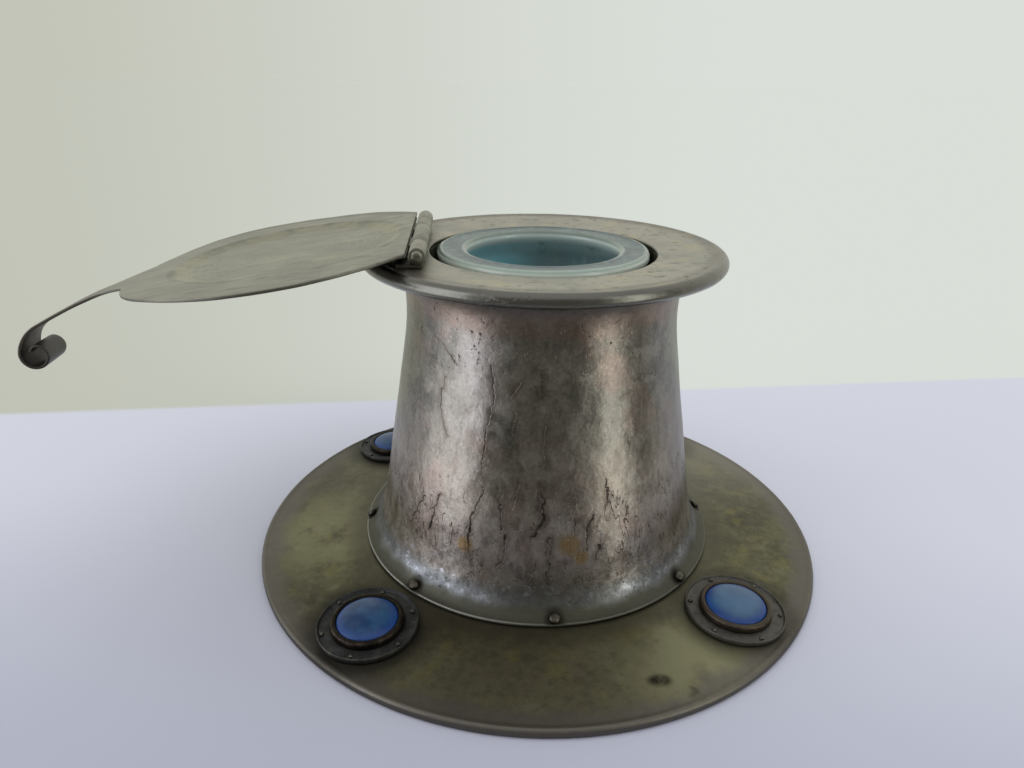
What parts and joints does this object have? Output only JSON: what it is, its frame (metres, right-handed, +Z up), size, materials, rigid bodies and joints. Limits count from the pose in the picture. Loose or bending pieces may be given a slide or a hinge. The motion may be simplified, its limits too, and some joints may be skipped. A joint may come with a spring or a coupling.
{
  "type": "desk inkstand",
  "caption": "Capstan desk inkstand: wide riveted base plate with blue stone roundels, waisted hollow body, lift-out glazed liner and hinged lid with a scroll handle.",
  "frame": {"origin": "centre of the base plate's flat underside, on the body's axis", "axes": "+Z up along the body's axis; the lid lies open towards -X and its hinge pin runs along Y"},
  "size_m": [0.2404, 0.178, 0.1007],
  "materials": {
    "body_metal": "hammered plated metal, crackled and stained, satin",
    "plate_metal": "olive brown patina, satin",
    "collar_metal": "worn warm grey, dark rolled edge",
    "well_metal": "dull dark sheet",
    "lid_metal": "worn grey green sheet, scratched",
    "dark_metal": "dark hinge metal",
    "rivet_metal": "worn domed heads",
    "roundel_metal": "dark olive patina",
    "bezel_metal": "dark brown, worn bright at the edge",
    "pin_metal": "dark small heads",
    "liner_glaze": "glossy blue green glaze",
    "stone_glaze": "glossy mottled blue"
  },
  "bodies": {
    "stand": {"base_plate": "plate_metal", "body_shell": "body_metal", "collar": "collar_metal", "liner_well": "well_metal", "collar_hinge_leaf": "dark_metal", "hinge_pin": "dark_metal", "flange_rivet_1": "rivet_metal", "flange_rivet_2": "rivet_metal", "flange_rivet_3": "rivet_metal", "flange_rivet_4": "rivet_metal", "flange_rivet_5": "rivet_metal", "flange_rivet_6": "rivet_metal", "flange_rivet_7": "rivet_metal", "flange_rivet_8": "rivet_metal", "roundel_1_plate": "roundel_metal", "roundel_1_bezel": "bezel_metal", "roundel_1_stone": "stone_glaze", "roundel_1_pin_1": "pin_metal", "roundel_1_pin_2": "pin_metal", "roundel_1_pin_3": "pin_metal", "roundel_1_pin_4": "pin_metal", "roundel_1_pin_5": "pin_metal", "roundel_1_pin_6": "pin_metal", "roundel_2_plate": "roundel_metal", "roundel_2_bezel": "bezel_metal", "roundel_2_stone": "stone_glaze", "roundel_2_pin_1": "pin_metal", "roundel_2_pin_2": "pin_metal", "roundel_2_pin_3": "pin_metal", "roundel_2_pin_4": "pin_metal", "roundel_2_pin_5": "pin_metal", "roundel_2_pin_6": "pin_metal", "roundel_3_plate": "roundel_metal", "roundel_3_bezel": "bezel_metal", "roundel_3_stone": "stone_glaze", "roundel_3_pin_1": "pin_metal", "roundel_3_pin_2": "pin_metal", "roundel_3_pin_3": "pin_metal", "roundel_3_pin_4": "pin_metal", "roundel_3_pin_5": "pin_metal", "roundel_3_pin_6": "pin_metal", "roundel_4_plate": "roundel_metal", "roundel_4_bezel": "bezel_metal", "roundel_4_stone": "stone_glaze", "roundel_4_pin_1": "pin_metal", "roundel_4_pin_2": "pin_metal", "roundel_4_pin_3": "pin_metal", "roundel_4_pin_4": "pin_metal", "roundel_4_pin_5": "pin_metal", "roundel_4_pin_6": "pin_metal"},
    "lid_assembly": {"lid": "lid_metal", "lid_hinge_leaf": "dark_metal"},
    "liner_pot": {"liner": "liner_glaze"}
  },
  "joints": [
    {"name": "lid_hinge", "type": "hinge", "parent": "stand", "child": "lid_assembly", "pos_m": [-0.035, 0, 0.0984], "axis": [0, -1, 0], "range_deg": [-189.4, 0]},
    {"name": "liner_lift", "type": "slide", "parent": "stand", "child": "liner_pot", "axis": [0, 0, 1], "range_m": [0, 0.045]}
  ]
}
